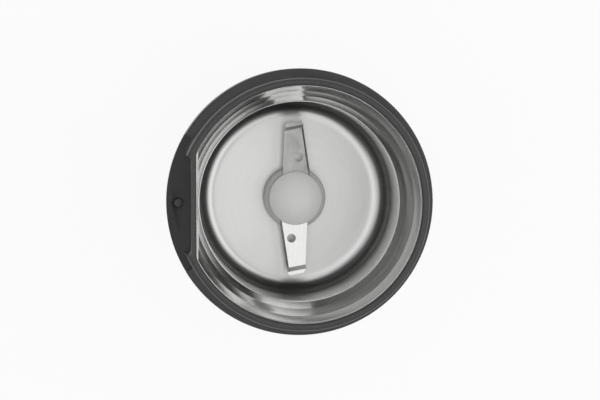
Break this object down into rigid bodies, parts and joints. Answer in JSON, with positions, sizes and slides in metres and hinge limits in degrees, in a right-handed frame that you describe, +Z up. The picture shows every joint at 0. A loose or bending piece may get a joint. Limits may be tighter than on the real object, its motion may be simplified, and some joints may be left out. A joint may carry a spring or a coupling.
{
  "type": "electric spice grinder",
  "caption": "Round electric blade grinder body with an open D-mouthed steel bowl, turning blade and a sprung start plunger in its ledge.",
  "frame": {"origin": "on the table under the blade shaft, at the bottom of the feet", "axes": "+Z up along the blade shaft, the start plunger and the bowl's flat side towards -X, the cord gland towards +X"},
  "size_m": [0.09, 0.09, 0.1254],
  "materials": {
    "housing_plastic": "fine matt moulded grain, dark grey",
    "plunger_plastic": "matt dark grey moulding",
    "bowl_steel": "spun steel, brushed in circles",
    "blade_steel": "ground stamped steel",
    "cap_plastic": "pale grey satin moulding",
    "seat_plastic": "mid grey moulding",
    "rubber": "soft black rubber",
    "nylon": "natural glass-filled nylon",
    "phenolic": "brown phenolic moulding",
    "bronze": "oil-filled sintered bronze",
    "copper": "enamelled copper",
    "core_steel": "varnished lamination stack",
    "shaft_steel": "ground steel",
    "screw_steel": "zinc plated steel",
    "carbon": "pressed carbon",
    "film": "yellow film box"
  },
  "bodies": {
    "casing": {"top_ring": "housing_plastic", "outer_shell": "housing_plastic", "base_plate": "housing_plastic", "grinding_bowl": "bowl_steel", "rubber_feet": "rubber", "cord_gland": "rubber", "shaft_seal": "rubber", "bowl_gasket": "rubber", "mounting_washers": "rubber", "motor_plate": "nylon", "lower_bracket": "nylon", "plunger_retainer": "nylon", "brush_holders": "phenolic", "brush_caps": "phenolic", "switch_body": "phenolic", "upper_bush": "bronze", "lower_bush": "bronze", "field_coils": "copper", "stator_core": "core_steel", "through_bolts": "screw_steel", "plate_screws": "screw_steel", "base_screws": "screw_steel", "plunger_spring": "screw_steel", "brush_springs": "screw_steel", "switch_terminals": "screw_steel", "carbon_brushes": "carbon", "suppression_capacitor": "film"},
    "rotor": {"motor_shaft": "shaft_steel", "armature_core": "core_steel", "armature_windings": "copper", "commutator": "copper", "cooling_fan": "nylon", "thrust_washers": "nylon", "blade_seat": "seat_plastic", "blade": "blade_steel", "blade_nut": "screw_steel", "hub_cap": "cap_plastic"},
    "plunger": {"start_plunger": "plunger_plastic"},
    "lever": {"switch_lever": "screw_steel"},
    "button": {"switch_button": "nylon"}
  },
  "joints": [
    {"name": "blade_spin", "type": "hinge", "parent": "casing", "child": "rotor", "pos_m": [0, 0, 0.09], "axis": [0, 0, 1], "continuous": true},
    {"name": "plunger_press", "type": "slide", "parent": "casing", "child": "plunger", "axis": [0, 0, -1], "range_m": [0, 0.002], "stiffness_N_per_m": 300, "springref_m": -0.002, "deforming": ["plunger_spring"]},
    {"name": "lever_turn", "type": "hinge", "parent": "casing", "child": "lever", "pos_m": [-0.0376, -0.0081, 0.0922], "axis": [-1, 0, 0], "range_deg": [0, 14.2]},
    {"name": "button_press", "type": "slide", "parent": "casing", "child": "button", "axis": [0, 0, -1], "range_m": [0, 0.001]}
  ],
  "couplings": [
    {"joint": "lever_turn", "follows": "plunger_press", "rad_per_m": 122.78},
    {"joint": "button_press", "follows": "plunger_press", "ratio": 0.494}
  ]
}
